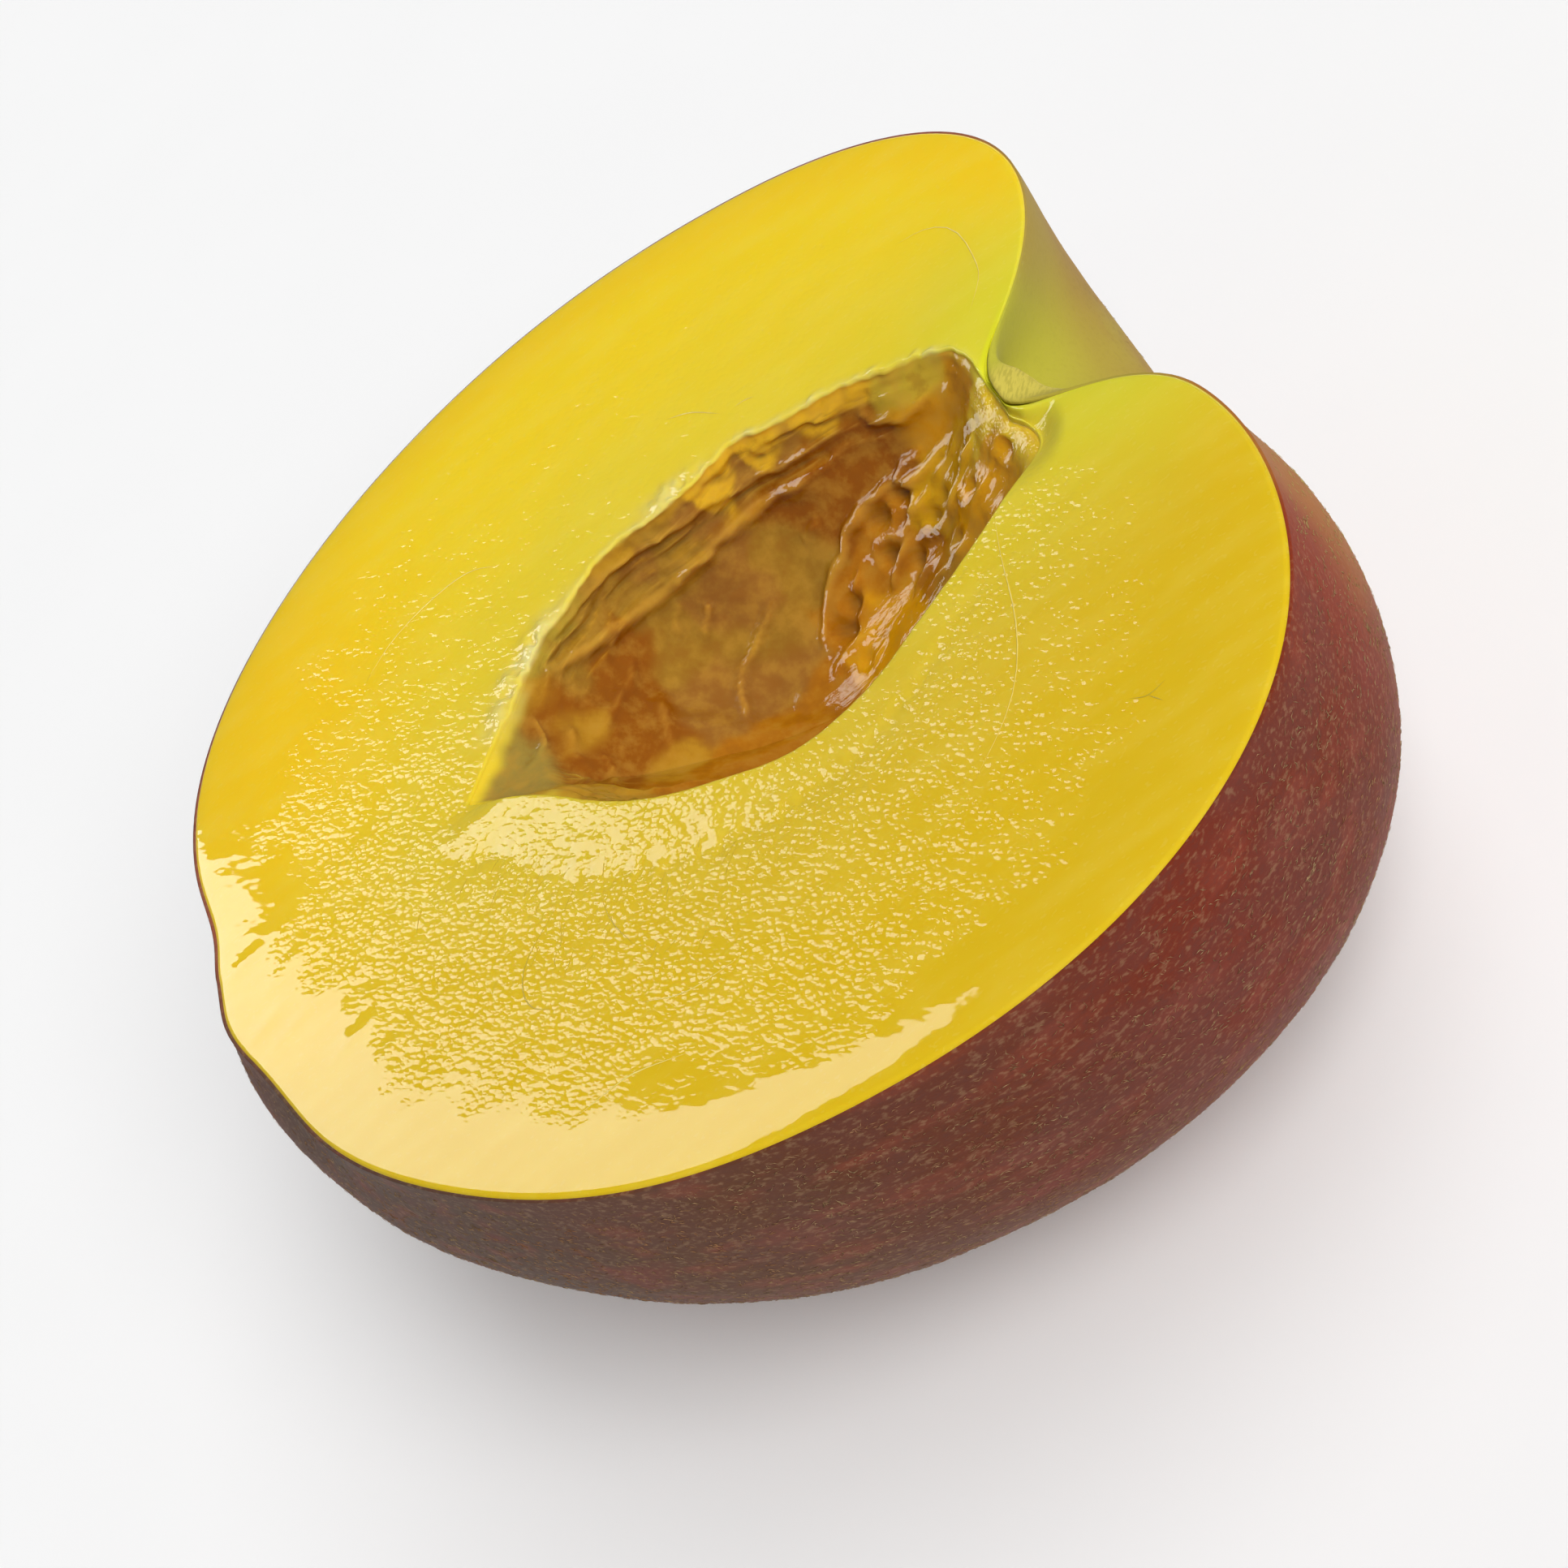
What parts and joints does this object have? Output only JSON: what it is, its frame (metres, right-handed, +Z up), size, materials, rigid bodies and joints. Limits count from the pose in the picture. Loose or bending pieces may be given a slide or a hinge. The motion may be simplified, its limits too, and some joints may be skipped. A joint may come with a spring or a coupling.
{
  "type": "peach half",
  "caption": "Half of a ripe yellow peach cut along its suture, stone lifted out, with a ridged almond-shaped hollow, a stem basin and fuzzy red skin, resting cut face up.",
  "frame": {"origin": "middle of the small flat spot on the skin that the half rests on", "axes": "+Z up, square to the level cut face; +X towards the stem end, -X towards the tip; Y across the two cheeks of the cut face"},
  "size_m": [0.0772, 0.0764, 0.0388],
  "materials": {
    "peach_flesh": "wet juicy yellow flesh, glossy, slightly translucent",
    "hollow_lining": "wet amber brown lining of the stone hollow, ridged and glossy",
    "peach_skin": "dull dark red skin with fine tan fuzz and speckles",
    "stem_basin": "dull olive yellow skin in the stem basin and the wrinkled stalk scar"
  },
  "bodies": {
    "root": {"peach_half": "peach_flesh"}
  },
  "joints": []
}
